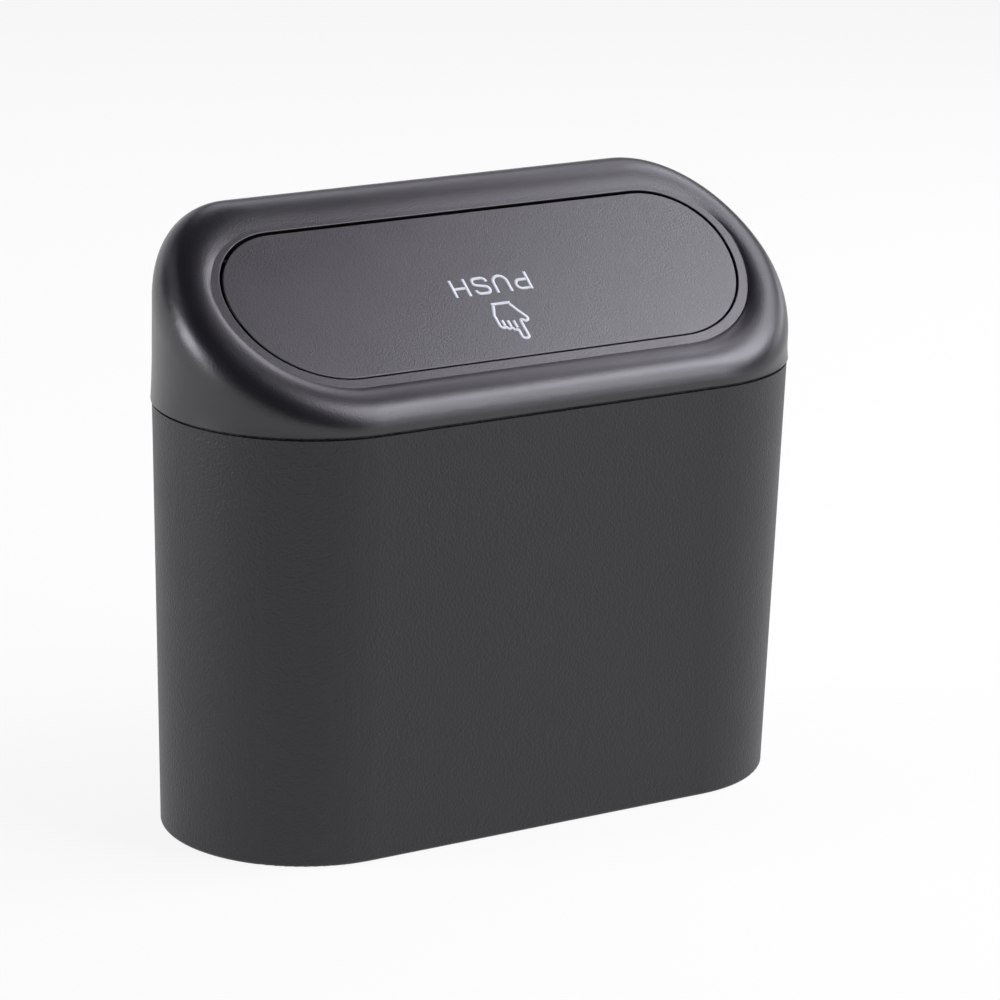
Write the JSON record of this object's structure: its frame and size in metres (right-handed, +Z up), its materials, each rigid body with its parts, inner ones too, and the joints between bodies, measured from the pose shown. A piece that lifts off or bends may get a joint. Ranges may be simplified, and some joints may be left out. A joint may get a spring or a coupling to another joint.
{
  "type": "car trash bin",
  "caption": "Slim racetrack-shaped waste bin for a car, with a sloping lift-off lid and a flush flap that springs open when pressed.",
  "frame": {"origin": "middle of the underside", "axes": "+X along the length, -Y towards the low front side, +Z up"},
  "size_m": [0.201, 0.086, 0.1774],
  "materials": {
    "body_plastic": "fine moulded texture, black",
    "lid_plastic": "satin moulded, black",
    "pin_steel": "black oxide on drawn steel",
    "spring_steel": "drawn spring wire",
    "latch_plastic": "satin moulded, black",
    "latch_acetal": "natural white acetal",
    "screw_steel": "zinc plated"
  },
  "bodies": {
    "bin": {"bin_body": "body_plastic"},
    "lid": {"lid_frame": "lid_plastic", "hinge_pin_left": "pin_steel", "hinge_pin_right": "pin_steel", "hinge_spring_left": "spring_steel", "hinge_spring_right": "spring_steel", "latch_case": "latch_plastic", "latch_spring": "spring_steel", "latch_screws": "screw_steel"},
    "flap": {"flap_panel": "lid_plastic"},
    "plunger": {"latch_plunger": "latch_acetal", "latch_jaws": "latch_acetal"}
  },
  "joints": [
    {"name": "lid_lift", "type": "slide", "parent": "bin", "child": "lid", "axis": [0, 0, 1], "range_m": [0, 0.04]},
    {"name": "flap_hinge", "type": "hinge", "parent": "lid", "child": "flap", "pos_m": [0, 0.0095, 0.16505], "axis": [-1, 0, 0], "range_deg": [0, 75], "deforming": ["hinge_spring_left", "hinge_spring_right", "latch_jaws"]},
    {"name": "latch_press", "type": "slide", "parent": "lid", "child": "plunger", "axis": [0, 0.6157, -0.788], "range_m": [0, 0.0012], "stiffness_N_per_m": 300, "deforming": ["latch_spring"]}
  ]
}
